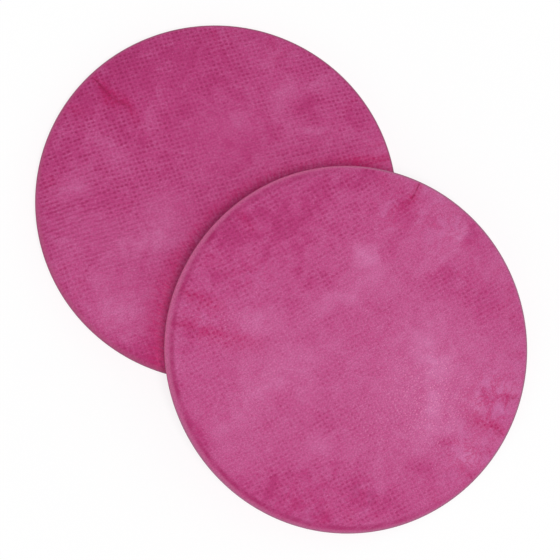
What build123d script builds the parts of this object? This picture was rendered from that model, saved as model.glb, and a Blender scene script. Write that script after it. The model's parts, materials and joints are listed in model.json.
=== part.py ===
from build123d import *
import math
import os

# Two bayonet particulate filter discs, as they lie on a table: the lower one stands level on
# its collar, and the upper one leans on it with its far rim on the table. The origin is on the
# lower filter's axis at the table, and +Z is up. Sizes are in millimetres and degrees.
#
# Each piece is drawn once in the filter's own frame: its axis on Z, the weld that joins its two
# faces at z = 0, its front face up and its collar down.

# Soft disc
disc_radius = 54.0
weld_width = 1.6
cover_thickness = 0.5
front_crown = 5.5
rear_crown = 4.0
shoulder_width = 6.0
shoulder_share = 0.72
level_share = 0.70
media_ply = 1.25
rear_media_ply = 0.65
scrim_thickness = 0.25
layer_gap = 0.05
web_margin = 2.4
flat_margin = 0.5

# Bayonet collar
collar_radius = 19.5
collar_wall = 2.2
collar_depth = 4.5
mouth_round = 0.6
flange_width = 3.5
flange_thickness = 1.2
boss_step = 0.7
boss_height = 1.1
seal_land = 3.3
throat_wall = 2.0
bead_width = 1.0
bead_height = 0.5
bead_inset = 1.2
lug_count = 3
lug_angle = 40.0
lug_reach = 1.6
lug_thickness = 1.4
stop_angle = 5.0
stop_reach = 0.9
gusset_count = 12
gusset_thickness = 1.0
gusset_height = 2.2
gusset_inset = 0.6

# Clamp ring, with the guard that keeps the front media out of the throat
clamp_thickness = 1.0
fit_clearance = 0.15
hole_clearance = 0.2
spoke_count = 4
spoke_width = 2.0
spoke_foot = 3.0
hub_radius = 3.0

# Spacer net
net_margin = 8.0
net_clearance = 0.5
net_hole_radius = 1.8
net_rib = 1.1

# How the pair lies
disc_offset = 60.2
heading = -49.6
seat_gap = 0.3
lower_turn = 17.0
upper_turn = 29.0
steepest_lean = 60.0
mouth_points = 120
halvings = 30

# Radii that follow
weld_inner = disc_radius - weld_width
shoulder = weld_inner - shoulder_width
web_radius = weld_inner - web_margin
chamber_radius = collar_radius - collar_wall
lug_radius = chamber_radius - lug_reach
flange_radius = collar_radius + flange_width
boss_radius = chamber_radius + boss_step
throat_radius = chamber_radius - seal_land
tube_radius = throat_radius + throat_wall
web_hole = boss_radius + hole_clearance
rear_flat = flange_radius + flat_margin
spoke_reach = tube_radius + fit_clearance + spoke_foot
net_inner = spoke_reach + net_clearance
net_radius = web_radius - net_margin

# Levels that follow, front stack from the cover down and rear stack from the cover up
cover_back = -rear_crown
flange_back = cover_back - flange_thickness
mouth = cover_back - collar_depth
stop_height = collar_depth - flange_thickness
boss_top = cover_back + boss_height
front_levels = [front_crown - cover_thickness - layer_gap]
for thickness in (media_ply, media_ply, scrim_thickness):
    front_levels.append(front_levels[-1] - thickness - layer_gap)
rear_levels = [cover_back + cover_thickness + layer_gap]
for thickness in (rear_media_ply, rear_media_ply, scrim_thickness):
    rear_levels.append(rear_levels[-1] + thickness + layer_gap)
clamp_bottom = rear_levels[-1]
clamp_top = clamp_bottom + clamp_thickness


def blend(values, t):
    """The cubic Bezier through four values, at t from 0 to 1."""
    a, b, c, d = values
    return a * (1 - t) ** 3 + 3 * b * t * (1 - t) ** 2 + 3 * c * t**2 * (1 - t) + d * t**3


def face_reaches(start):
    """Radii of the four points that shape a face: level from start, then down the shoulder."""
    return start, start + level_share * (shoulder - start), shoulder, weld_inner


def face_line(start, crown, rim):
    """One web's surface in section, from its level middle to the weld."""
    heights = crown, crown, rim + shoulder_share * (crown - rim), rim
    Bezier(*zip(face_reaches(start), heights))


def front_share(radius):
    """What is left of a front web's crown at a radius: 1 on the axis and 0 at the weld."""
    low, high = 0.0, 1.0
    for _ in range(halvings):
        middle = (low + high) / 2
        if blend(face_reaches(0), middle) < radius:
            low = middle
        else:
            high = middle
    return blend((1, 1, shoulder_share, 0), low)


# Front cover: the crowned face, with its half of the flat weld round it
with BuildPart() as front_cover:
    with BuildSketch(Plane.XZ):
        with BuildLine():
            face_line(0, front_crown, cover_thickness)
            Polyline(
                (weld_inner, cover_thickness),
                (disc_radius, cover_thickness),
                (disc_radius, 0),
                (weld_inner, 0),
            )
            face_line(0, front_crown - cover_thickness, 0)
            Line((0, front_crown - cover_thickness), (0, front_crown))
        make_face()
    revolve(axis=Axis.Z)


# Front webs: two plies of fine-fibre media, then the scrim that holds them off the net. They
# end short of the weld, where the covers come together.
front_webs = {}
for name, top, bottom in zip(
    ("front_media_outer", "front_media_inner", "front_scrim"), front_levels, front_levels[1:]
):
    with BuildPart() as web:
        with BuildSketch(Plane.XZ):
            with BuildLine():
                face_line(0, top, 0)
                face_line(0, bottom + layer_gap, 0)
                Line((0, bottom + layer_gap), (0, top))
            make_face()
            Rectangle(2 * web_radius, 4 * disc_radius, mode=Mode.INTERSECT)
        revolve(axis=Axis.Z)
    front_webs[name] = web

# Rear cover: level round the collar, with a hole for the collar's boss
with BuildPart() as rear_cover:
    with BuildSketch(Plane.XZ):
        with BuildLine():
            Line((web_hole, cover_back), (rear_flat, cover_back))
            face_line(rear_flat, cover_back, -cover_thickness)
            Polyline(
                (weld_inner, -cover_thickness),
                (disc_radius, -cover_thickness),
                (disc_radius, 0),
                (weld_inner, 0),
            )
            face_line(rear_flat, cover_back + cover_thickness, 0)
            Polyline(
                (rear_flat, cover_back + cover_thickness),
                (web_hole, cover_back + cover_thickness),
                (web_hole, cover_back),
            )
        make_face()
    revolve(axis=Axis.Z)


# Rear webs: two thinner plies of media and their scrim, in rings round the collar
rear_webs = {}
for name, bottom, top in zip(
    ("rear_media_outer", "rear_media_inner", "rear_scrim"), rear_levels, rear_levels[1:]
):
    with BuildPart() as web:
        with BuildSketch(Plane.XZ):
            with BuildLine():
                Line((web_hole, bottom), (rear_flat, bottom))
                face_line(rear_flat, bottom, 0)
                face_line(rear_flat, top - layer_gap, 0)
                Polyline(
                    (rear_flat, top - layer_gap),
                    (web_hole, top - layer_gap),
                    (web_hole, bottom),
                )
            make_face()
            Rectangle(2 * web_radius, 4 * disc_radius, mode=Mode.INTERSECT)
        revolve(axis=Axis.Z)
    rear_webs[name] = web

# Spacer net: a perforated ring that keeps the two media apart for the air
net_top = front_levels[3] * front_share(net_radius) - layer_gap
net_pitch = 2 * net_hole_radius + net_rib
net_rings = int((net_radius - net_inner - net_rib) / net_pitch)

with BuildPart() as spacer_net:
    with BuildSketch(Plane.XY.offset(clamp_top)):
        Circle(net_radius)
        Circle(net_inner, mode=Mode.SUBTRACT)
        for ring in range(net_rings):
            ring_radius = net_inner + net_rib + net_hole_radius + ring * net_pitch
            with PolarLocations(ring_radius, int(2 * math.pi * ring_radius / net_pitch)):
                Circle(net_hole_radius, mode=Mode.SUBTRACT)
    extrude(amount=net_top - clamp_top)

# Bayonet collar: mouth, seal land and throat in one turned section
with BuildPart() as bayonet_collar:
    with BuildSketch(Plane.XZ):
        bead = throat_radius + bead_inset
        with BuildLine():
            Polyline(
                (chamber_radius, mouth),
                (collar_radius, mouth),
                (collar_radius, flange_back),
                (flange_radius, flange_back),
                (flange_radius, cover_back),
                (boss_radius, cover_back),
                (boss_radius, boss_top),
                (tube_radius, boss_top),
                (tube_radius, clamp_top),
                (throat_radius, clamp_top),
                (throat_radius, cover_back),
                (bead, cover_back),
                (bead + bead_width / 2, cover_back - bead_height),
                (bead + bead_width, cover_back),
                (chamber_radius, cover_back),
                close=True,
            )
        make_face()
    revolve(axis=Axis.Z)
    mouth_edges = bayonet_collar.edges().group_by(Axis.Z)[0].sort_by(SortBy.RADIUS)
    fillet(mouth_edges[-1], mouth_round)
    # lugs at the mouth, each with a stop that ends the turn of the mating part
    for inner, angle, turn, height in (
        (lug_radius, lug_angle, 0, lug_thickness),
        (chamber_radius - stop_reach, stop_angle, (lug_angle - stop_angle) / 2, stop_height),
    ):
        half = math.radians(angle / 2)
        with BuildSketch(Plane.XY, mode=Mode.PRIVATE) as stretch:
            with BuildLine():
                for radius in (inner, boss_radius):
                    CenterArc((0, 0), radius, -angle / 2, angle)
                for side in (-half, half):
                    Line(
                        (inner * math.cos(side), inner * math.sin(side)),
                        (boss_radius * math.cos(side), boss_radius * math.sin(side)),
                    )
            make_face()
        with BuildSketch(Plane.XY.offset(mouth)):
            with PolarLocations(0, lug_count, start_angle=turn):
                add(stretch.sketch)
        extrude(amount=height)
    # gussets from the wall to the flange
    with BuildSketch(Plane.XZ, mode=Mode.PRIVATE) as gusset:
        with BuildLine():
            Polyline(
                (collar_radius - gusset_inset, flange_back),
                (flange_radius - gusset_inset, flange_back),
                (collar_radius - gusset_inset, flange_back - gusset_height),
                close=True,
            )
        make_face()
    for spot in PolarLocations(0, gusset_count, start_angle=180 / gusset_count):
        extrude(spot * gusset.sketch, amount=gusset_thickness / 2, both=True)

# Clamp ring: welded to the collar's boss from inside, with the rear webs held between them
guard_top = front_levels[3] * front_share(spoke_reach) - layer_gap

with BuildPart() as clamp_ring:
    with BuildSketch(Plane.XZ):
        with BuildLine():
            Polyline(
                (tube_radius + fit_clearance, boss_top),
                (boss_radius, boss_top),
                (boss_radius, clamp_bottom),
                (flange_radius, clamp_bottom),
                (flange_radius, clamp_top),
                (tube_radius + fit_clearance, clamp_top),
                close=True,
            )
        make_face()
    revolve(axis=Axis.Z)
    with BuildSketch(Plane.XY.offset(clamp_top)):
        Circle(hub_radius)
        with PolarLocations(0, spoke_count):
            Rectangle(spoke_reach, spoke_width, align=(Align.MIN, Align.CENTER))
    extrude(amount=guard_top - clamp_top)


def front_height(radius):
    """Height of the lower filter's front face over the table, or nothing past its rim."""
    if radius > disc_radius:
        return -math.inf
    crown = front_crown - cover_thickness
    return -mouth + cover_thickness + crown * front_share(min(radius, weld_inner))


def rest_height(lean):
    """Height of the upper filter's weld centre with its far rim on the table."""
    return disc_radius * math.sin(lean) + cover_thickness * math.cos(lean)


def least_gap(lean):
    """Least height of the upper collar's mouth over the lower filter's front face."""
    gaps = []
    for radius in (lug_radius, chamber_radius, collar_radius):
        for step in range(mouth_points):
            turn = 2 * math.pi * step / mouth_points
            out = radius * math.cos(turn)
            along = disc_offset + out * math.cos(lean) + mouth * math.sin(lean)
            height = rest_height(lean) - out * math.sin(lean) + mouth * math.cos(lean)
            reach = math.hypot(along, radius * math.sin(turn))
            gaps.append(height - front_height(reach))
    return min(gaps)


# The upper filter leans by the angle that leaves the seat gap under its collar
low, high = 0.0, math.radians(steepest_lean)
for _ in range(halvings):
    lean = (low + high) / 2
    if least_gap(lean) < seat_gap:
        low = lean
    else:
        high = lean
across = math.radians(heading)
upper_x = disc_offset * math.cos(across)
upper_y = disc_offset * math.sin(across)
upper_turned = Rot(Z=heading) * Rot(Y=math.degrees(lean)) * Rot(Z=upper_turn - heading)

lower_place = Pos(0, 0, -mouth) * Rot(Z=lower_turn)
upper_place = Pos(upper_x, upper_y, rest_height(lean)) * upper_turned

pieces = {
    "front_cover": front_cover,
    **front_webs,
    "spacer_net": spacer_net,
    "clamp_ring": clamp_ring,
    **rear_webs,
    "rear_cover": rear_cover,
    "bayonet_collar": bayonet_collar,
}
os.makedirs("parts", exist_ok=True)
for side, place in (("lower", lower_place), ("upper", upper_place)):
    for name, piece in pieces.items():
        placed = place * piece.part
        placed.label = f"{side}_{name}"
        export_step(placed, f"parts/{placed.label}.step")

port = upper_place * Pos(0, 0, cover_back)
print("lean", round(math.degrees(lean), 3), "upper throat mouth", port.position)
print("throat radius", throat_radius, "length", clamp_top - cover_back)
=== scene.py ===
import json
from math import cos, pi, radians, sin

import bpy
import numpy as np
from bpy.props import FloatProperty, FloatVectorProperty, IntProperty, PointerProperty
from mathutils import Matrix, Vector


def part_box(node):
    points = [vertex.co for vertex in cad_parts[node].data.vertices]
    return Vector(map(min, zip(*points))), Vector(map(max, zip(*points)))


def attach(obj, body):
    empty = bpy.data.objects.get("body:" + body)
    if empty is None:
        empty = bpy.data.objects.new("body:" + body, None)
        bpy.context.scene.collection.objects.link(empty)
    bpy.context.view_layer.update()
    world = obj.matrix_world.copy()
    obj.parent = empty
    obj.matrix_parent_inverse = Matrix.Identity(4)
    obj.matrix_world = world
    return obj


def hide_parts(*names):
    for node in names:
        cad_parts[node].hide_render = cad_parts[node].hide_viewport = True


# Two soft bayonet filter discs, as they lie on a table: the lower one level on its collar and
# the upper one leaning on it. Each web is drawn in its filter's own frame, with the filter's
# axis on Z and the weld of its two covers at z = 0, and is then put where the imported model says.

bl_info = {
    "name": "Respirator filter pair",
    "version": (1, 0, 0),
    "blender": (4, 5, 0),
    "location": "View3D > Sidebar > Filters",
    "description": "Soft webs and finishes for a pair of bayonet filter discs",
    "category": "Object",
}

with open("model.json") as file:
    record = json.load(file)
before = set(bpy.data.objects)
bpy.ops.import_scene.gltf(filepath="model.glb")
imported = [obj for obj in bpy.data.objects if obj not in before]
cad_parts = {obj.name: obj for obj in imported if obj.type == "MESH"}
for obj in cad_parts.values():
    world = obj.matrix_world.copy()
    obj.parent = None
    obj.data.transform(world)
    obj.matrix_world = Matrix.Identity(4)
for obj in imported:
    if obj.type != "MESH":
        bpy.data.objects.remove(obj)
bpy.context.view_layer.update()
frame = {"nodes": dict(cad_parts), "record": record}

SIDES = ("lower", "upper")
FACES = ("front", "rear")
COVER_LOW, COVER_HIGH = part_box("lower_front_cover")
REAR_LOW, REAR_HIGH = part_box("lower_rear_cover")
MM = 0.001

# How far each filter is turned about its own axis, which is also how its web's rows of bond
# points run, and which way its weld is off centre.
TURN = {"lower": radians(17), "upper": radians(29)}
WELD_DRIFT_WAY = {"lower": radians(48), "upper": radians(20)}
WELD_DRIFT = 0.0006

# How far each cut edge stands out of a true circle, in millimetres: all round, more at both ends
# of its longest way across, more at one end, and more over a short stretch, whose half width is
# STRETCH_REACH. The ways are as the filter lies.
OUT_OF_ROUND = {
    "lower": (-0.07, 0.24, radians(130), 0.0, 0.0, 0.0, 0.0),
    "upper": (0.15, 0.42, radians(135), 0.13, radians(315), 0.55, radians(177)),
}
STRETCH_REACH = radians(24)

# Creases in the front covers, from the weld inwards. Each point is across and up from the
# filter's middle as it lies, then the crease's half width and its depth, all in millimetres.
CREASES = {
    "lower": (
        (
            (-36.4, 37.2, 0.35, 0.30), (-33.4, 34.0, 0.55, 0.60), (-30.6, 31.0, 1.1, 0.60),
            (-27.6, 29.7, 0.8, 0.45), (-25.8, 28.4, 0.5, 0.40), (-24.4, 25.6, 0.5, 0.30),
            (-23.0, 22.6, 0.6, 0.05),
        ),
        ((-34.2, 33.2, 0.5, 0.20), (-31.6, 30.4, 1.5, 0.50), (-28.4, 27.8, 1.0, 0.10)),
        ((-45.2, 28.9, 0.35, 0.20), (-42.0, 27.5, 0.5, 0.20), (-39.0, 26.4, 0.6, 0.02)),
        (
            (52.4, 13.4, 0.5, 0.25), (47.4, 12.3, 1.0, 0.45), (43.4, 11.5, 1.2, 0.60),
            (38.0, 11.6, 1.1, 0.25),
        ),
    ),
    "upper": (
        (
            (20.6, 49.6, 0.45, 0.35), (18.1, 45.2, 0.50, 0.45), (15.8, 42.8, 0.8, 0.20),
            (10.8, 41.0, 1.6, 0.05),
        ),
        (
            (-49.8, 17.0, 0.5, 0.25), (-46.4, 15.2, 0.9, 0.35), (-41.0, 13.1, 1.3, 0.30),
            (-36.3, 11.0, 1.5, 0.02),
        ),
        (
            (-52.0, 7.2, 0.4, 0.25), (-47.4, 6.4, 0.8, 0.30), (-41.6, 4.7, 1.8, 0.34),
            (-34.2, 2.6, 2.0, 0.28), (-23.7, 1.1, 1.6, 0.02),
        ),
        ((52.0, -13.9, 0.5, 0.25), (49.0, -13.6, 0.8, 0.28), (45.0, -12.4, 1.2, 0.05)),
        (
            (46.4, -24.2, 0.5, 0.30), (43.6, -21.6, 0.9, 0.30), (39.6, -20.3, 1.4, 0.30),
            (34.0, -17.4, 1.5, 0.05),
        ),
        ((38.0, -37.8, 0.4, 0.25), (36.0, -34.0, 0.7, 0.10)),
    ),
}

# The sharp lines along the creases: across and up, half width and how dark, from 0 to 1
HAIRLINES = {
    "lower": (
        ((-36.9, 37.8, 0.34, 0.9), (-34.8, 35.6, 0.45, 0.9)),
        (
            (-34.8, 35.6, 0.50, 0.90), (-32.6, 32.8, 1.45, 0.62), (-29.8, 30.6, 1.50, 0.52),
            (-27.0, 28.6, 0.80, 0.48), (-24.6, 27.0, 0.45, 0.40),
        ),
        ((-34.6, 35.3, 0.32, 0.60), (-31.2, 32.9, 0.32, 0.40), (-26.6, 28.9, 0.30, 0.30)),
        ((-45.4, 29.0, 0.28, 0.6), (-39.4, 26.7, 0.22, 0.1)),
        ((52.0, 13.3, 0.45, 0.30), (47.6, 12.4, 0.60, 0.30), (44.0, 11.6, 0.80, 0.25)),
    ),
    "upper": (
        ((20.6, 49.6, 0.40, 0.85), (18.0, 45.1, 0.45, 0.7), (15.3, 42.7, 0.45, 0.1)),
        ((-49.8, 17.0, 0.40, 0.40), (-45.2, 14.4, 0.50, 0.1)),
        ((-52.2, 7.2, 0.40, 0.4), (-46.0, 6.1, 0.50, 0.1)),
        ((52.6, -14.0, 0.35, 0.5), (48.2, -13.5, 0.45, 0.1)),
        ((46.6, -24.4, 0.35, 0.6), (43.2, -21.4, 0.50, 0.1)),
        ((38.1, -38.0, 0.35, 0.6), (36.3, -34.8, 0.35, 0.1)),
    ),
}

# Patches where the fibres of a front cover lie looser (over 0) or closer (under 0): across and
# up from the filter's middle as it lies, how far the patch reaches along and across its run,
# all in millimetres, then the way it runs in degrees and how much. Two broad dark ones are
# painted shade rather than closer fibres: on the lower filter low on the left beside the upper
# one's rim, and over the upper filter's upper left.
PATCHES = {
    "lower": (
        (-27, 36, 15, 9, 40, -0.20), (2, 13, 12, 7, 20, -0.10), (-30, -30, 14, 10, 20, 0.12),
        (-4, 41, 24, 9, 5, -0.08), (-37, 31, 10, 5, 50, -0.10), (-36, 20, 3.5, 2.5, 70, 0.26),
        (-31, 16, 5, 2, -60, 0.28), (-19, 25.5, 3, 2, 60, 0.25), (-43, 3, 5, 4, 60, 0.31),
        (-17, -8, 5, 3.5, 60, 0.36), (-28, -34, 6, 4, 20, 0.40), (-35, -27, 6, 3, -30, 0.18),
        (-28, -41, 5, 2, -30, 0.12), (-42, -14, 6, 4, 80, 0.16), (7, 24, 3, 2.5, 0, 0.31),
        (19, 29, 6, 2, 70, 0.25), (28.5, 20.5, 2.5, 2, 0, 0.46), (21, 20, 4, 2, 70, 0.19),
        (15, 42, 4, 2, 30, 0.22), (32, 35, 4, 2, 40, 0.19), (-40, 30, 5, 3, 50, -0.10),
        (-41, 19, 3, 2, 80, -0.14), (-46, 12, 3, 2.5, 90, -0.16), (-27, 42.5, 4, 2, 30, -0.22),
        (-5, 45, 3, 2, 45, -0.28), (-12, 28, 7, 1.8, 80, -0.19), (-21, 35, 6, 2, 85, -0.14),
        (-22, 20, 5, 2, 90, -0.16), (-32, 2, 7, 4, 0, -0.16), (-25, -17, 6, 4, 20, 0.26),
        (28, 29, 3, 2, 20, -0.31), (41.5, 25, 4, 2, 70, -0.28), (18, 17, 4, 1.4, -50, -0.31),
        (-2, 36, 6, 4, 20, -0.16), (11, 39, 3, 1.5, 0, -0.22), (9, 12, 4, 2, 30, -0.16),
        # (-19, -46): painted shade beside the upper filter's rim
        (33, 43, 4, 2, -40, -0.16), (-27, -9, 6, 4, 20, 0.20), (-19, -46, 8, 4, -25, -0.28),
        (-3, -19, 9, 6, 70, -0.12), (-12, -13, 5, 3.5, 0, 0.28), (-32, 21, 4, 3, 0, -0.28),
        (37, 17, 4, 3, -60, 0.20), (50, 14, 5, 3, 75, 0.22), (-23, -39, 4, 3, 0, 0.18),
        (-25, 17, 4, 3, 0, -0.20), (22, 47, 4, 2.5, -25, 0.20), (-47, -15, 4, 2.5, 70, 0.18),
    ),
    "upper": (
        # (-23, 33): painted shade over the upper filter's upper left
        (-23, 33, 17, 10, 25, -0.27), (-3, 45, 15, 6, 0, -0.10), (34, 18, 11, 6, -20, -0.14),
        (-8, -44, 17, 6, -5, -0.14), (28, -14, 13, 11, 0, 0.12), (-25, -12, 14, 9, 10, 0.06),
        (-28, 9, 5, 3, 0, 0.42), (-14, -3, 5, 3.5, 10, 0.27), (-26, -11, 6, 3, 25, 0.35),
        (-33, -21, 5, 3, 30, 0.22), (4, 29, 3.5, 2.2, -50, 0.57), (7, 24, 5, 2.5, -70, 0.27),
        (-4, 15, 4, 2.5, 30, 0.32), (2, 20, 4, 3, 60, 0.19), (26, -3, 5, 2.6, -30, 0.54),
        (25, -16, 8, 3.6, 85, 0.54), (32, -23, 3, 2, 30, 0.41), (46, -10, 5, 2.2, -10, 0.50),
        (37, -15.5, 3.5, 1.8, 0, 0.46), (36, -30, 3.5, 2.5, 60, 0.51), (32, 36, 3, 1.6, 30, 0.49),
        (28, 41, 7, 3, -50, 0.27), (9, 41, 4, 2, 40, 0.08), (22, 6, 7, 5, 60, 0.40),
        (-9, -27, 3, 3, 45, 0.22), (9, -33, 7, 1.6, 88, 0.19), (20, -25, 5, 3, -20, 0.16),
        (-39, 12.2, 3, 0.9, -10, 0.32), (-46, 10.5, 3, 0.9, 0, 0.32), (9, 28.2, 5, 3, 0, -0.32),
        (44, 7, 5, 3, 80, -0.08), (18, 35, 5, 1.4, 60, 0.19), (30, 28, 4, 1.5, 40, 0.22),
        (-28, 41, 7, 3.2, 38, -0.28), (-22, 37, 6, 3, 30, -0.30), (-14, 28, 5, 2.5, 60, -0.10),
        (-32, 28, 3.5, 1.2, 10, -0.20), (-42, 20.5, 5, 1.3, 0, -0.24), (-30, 21, 4, 1.8, 40, -0.16),
        (-11, 20, 3, 2, 0, -0.16), (2, 50, 5, 2, -10, -0.30), (-9, 46, 7, 2.5, 30, -0.19),
        (16, 42, 5, 2.6, 65, -0.40), (29, 18, 5, 2.5, -25, -0.12), (41, 15, 6, 2.4, 60, -0.22),
        (27, 22.5, 5, 1.5, 15, -0.16), (36, 33, 3, 1.3, 45, -0.19), (-21, -14, 3, 1.6, -30, -0.19),
        (-34, -26, 4, 1.6, 30, -0.14), (-8, -21, 4, 2.5, 10, -0.16), (-23, -41, 3.6, 2, 70, -0.43),
        (-14, -36, 5, 2.5, -20, -0.22), (-14, -44, 4, 3, 0, -0.19), (-9, -50, 7, 1.6, -12, -0.38),
        (4, -42, 4.5, 2.2, -50, -0.38), (22.5, -35, 4, 1.7, -50, -0.30),
        (30, -28, 3, 1.5, 10, -0.24), (-46, -22, 7, 1.6, -62, -0.32),
        (40, -12.5, 3.5, 1.2, -20, -0.27), (12, -48, 8, 2, 10, -0.14), (47, -3, 4, 2, 80, 0.20),
        (-41, 1, 8, 5, 80, -0.10), (-39, 32.5, 5, 3, 45, -0.54), (-27, -41, 5, 4, 0, -0.26),
        (36, 35.5, 4, 2.5, 45, -0.40), (-45, 14, 5, 3, -10, -0.24), (45.5, 25, 5, 3, 60, 0.26),
        (-21, 13, 4, 3, 0, -0.20), (23, 28, 5, 4, 0, 0.26), (39, 2.5, 4, 3, 0, 0.24),
        (15, -43, 5, 3, 20, -0.24), (-47, 4, 5, 3, 80, -0.24), (-2, -35.5, 6, 3, 20, -0.24),
        (27, -26, 4, 3, 0, -0.22), (14, -10, 4, 3, 0, 0.22), (24, 47.5, 4, 2.5, -25, 0.24),
        (-45, -28, 4, 3, -60, -0.22), (44.5, -27.5, 5, 3, 60, 0.22), (33, -35, 4, 1.2, 50, -0.19),
        (-38, -36, 5, 2, -40, -0.14),
    ),
}

# Where the upper web is crumpled, where bond points run together into ribs, where they have
# faded and where painted highlights glint beside them: across, up, reach, amount
CRUMPLED = (
    (44, -14, 9, 1.0), (36, -31, 8, 0.8), (27, 38, 10, 0.55), (33, 24, 8, 0.35), (-44, 8, 7, 0.5),
    (-12, -45, 9, 0.5), (5, -44, 6, 0.4), (13, 41, 6, 0.6), (-30, 22, 7, 0.4),
)
RIBBED = {
    "lower": ((-44, -4, 15, 1.0), (-32, -14, 13, 0.9), (-40, 13, 9, 0.6), (-24, 0, 9, 0.5)),
    "upper": ((-10, 30, 17, 0.6), (-34, 24, 10, 0.5), (42, 14, 8, 0.6)),
}
FADED = {
    "lower": (
        (4, 19, 14, 0.85), (20, 33, 9, 0.5), (-26, -31, 13, 0.75), (-13, -4, 8, 0.8),
        (-10, 44, 8, 0.35), (-38, -12, 12, 0.35), (51, 18, 9, 0.75), (16, 46, 9, 0.45),
        (-14, 34, 9, 0.40), (32, 18, 9, 0.4),
    ),
    "upper": (
        (33, 37, 13, 0.7), (12, 38, 9, 0.4), (-46, -22, 9, 0.6), (-38, -30, 8, 0.5),
        (28, -44, 12, 0.4), (45, 12, 8, 0.3), (46, -20, 8, 0.6), (-20, 28, 16, 0.28),
        (-18, 45, 9, 0.25), (-34, -40, 9, 0.45), (-12, -46, 14, 0.15),
    ),
}
PAINTED_GLINTS = (
    (24, -14, 14, 1.0), (27, -5, 9, 0.7), (-40, 6, 7, 0.45), (8, -22, 9, 0.5), (-25, -10, 12, 0.3),
    (10, 0, 9, 0.3),
)

# How loose the fibres lie outside the patches, and how far the rows and the columns of bond
# points are out of true, in degrees
LOOSE = {"lower": 0.07, "upper": 0.30}
ROW_SKEW = (3, -1)

# The smallest and largest reach of a bond point, as shares of its cell, and how strong they show
POINT_SIZES = {"lower": (0.36, 0.44), "upper": (0.33, 0.41)}
POINT_STRENGTH = {"lower": 1.0, "upper": 0.86}

# How strong the painted shade inside each weld is, and how dull its cut edge is where the weld
# is narrow
SHOULDER_SHADE = {"lower": 0.18, "upper": 0.62}
CUT_EDGE = {"lower": 0.85, "upper": 0.70}

# The way in which the upper filter's edge lies over the lower one, where a painted highlight
# brightens it
PAINTED_HIGHLIGHT_WAY = radians(140)

# How much of a face's relief each surface takes, from the cover down to the net
PLY_SHARES = (1.0, 0.6, 0.25, 0.15)

# How full a crown is at its shoulder: how far out, and how high, its curve is pulled there
SHOULDER_PULL = (0.7, 0.72)

# Gathers that run in from a weld: how many, and their least and greatest length, width and depth
GATHERS = 34
GATHER_LENGTHS, GATHER_WIDTHS = (0.005, 0.015), (0.0009, 0.0024)
GATHER_DEPTHS = (0.00008, 0.00030)

# How deep a gather and a crease have to be to show in full
FULL_GATHER, FULL_CREASE = 0.0003, 0.0005

# Broad waves over a face: how many, their least and greatest length, and their height
WAVES, WAVE_LENGTHS, WAVE_HEIGHT = 7, (0.020, 0.052), 0.00006

# The lengths and the height of crumples, and the lengths in which a smooth wander runs
CRUMPLE_LENGTHS, CRUMPLE_HEIGHT = (0.0095, 0.0070, 0.0052), 0.00016
WANDER_LENGTHS = (0.017, 0.011, 0.007, 0.0045)

# Where random draws start, and how far patches and crumples wander
GATHER_SEED, PATCH_SEED, CRUMPLE_SEED, CRUMPLE_WANDER_SEED = 5, 40, 70, 60
PATCH_WANDER, CRUMPLE_WANDER = 0.0022, 0.0020

# How far a cover is drawn down on the whole, and how far its relief may rise
DRAWN_DOWN, HIGHEST_RELIEF = 0.00005, 0.0001

# The last step in from a cover's cut edge, and how far in and how much that edge is rounded off
EDGE_STEP, EDGE_REACH, EDGE_DROP = 0.0001, 0.0004, 0.00012

# The ways in which fibres are laid, in degrees, and the finest size of grain in a cover
COVER_FIBRES = (12, 71, 133)
PLY_FIBRES = (24, 88, 150)
FINE_GRAIN = 0.00042

# Where round the upper filter's rim the pleats and their painted shade reach further, with a
# lighter, redder painted light close to the rim, as a length
LONG_PLEAT_SHADE = (0.108, 0.128)

FLOOR_REACH = 1.5
CAMERA_AIM = Vector((0.01907, -0.02363, 0.0085))
SENSOR_WIDTH = 36


# ---- Settings ----

def a_length(name, description, default):
    """A length that a user may change."""
    return FloatProperty(name=name, description=description, default=default, unit="LENGTH")


def a_colour(name, where, default):
    """A colour that a user may change."""
    return FloatVectorProperty(
        name=name, description=f"Colour {where}", default=default, subtype="COLOR", size=3
    )


def a_count(name, description, default, least):
    """A number of rings that a user may change."""
    return IntProperty(name=name, description=description, default=default, min=least)


def a_strength(name, description, default):
    """A strength of light that a user may change."""
    return FloatProperty(name=name, description=description, default=default, min=0)


class FilterDisc(bpy.types.PropertyGroup):
    """Sizes of a filter's webs."""

    radius: a_length("Disc radius", "From the axis to the cut edge", COVER_HIGH.x)
    front_crown: a_length(
        "Front crown", "Height of the front face over the weld", COVER_HIGH.z - COVER_LOW.z
    )
    rear_crown: a_length(
        "Rear crown", "Depth of the rear face under the weld", REAR_HIGH.z - REAR_LOW.z
    )
    cover_thickness: a_length("Cover thickness", "Thickness of a cover web", 0.0005)
    weld_width: a_length("Weld width", "Width of the flat fused rim", 0.0010)
    shoulder_width: a_length("Shoulder width", "How far inside the weld a face turns down", 0.006)
    port_hole: a_length("Port hole radius", "Hole in the rear webs for the collar's boss", 0.0182)
    rear_level: a_length(
        "Level ring radius", "How far the rear webs stay level round the collar", 0.0235
    )
    media_radius: a_length("Media radius", "Radius of the media and scrims inside the covers", 0.050)
    media_ply: a_length("Front ply", "Thickness of one ply of the front media", 0.00125)
    rear_media_ply: a_length("Rear ply", "Thickness of one ply of the rear media", 0.00065)
    scrim_thickness: a_length("Scrim thickness", "Thickness of a scrim", 0.00025)
    layer_gap: a_length("Layer gap", "Gap between two webs", 0.00005)
    cover_rings: a_count("Cover rings", "Rings of faces from the middle of a cover to its edge", 72, 24)
    ply_rings: a_count("Ply rings", "Rings of faces from the middle of a ply to its edge", 36, 12)


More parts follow.
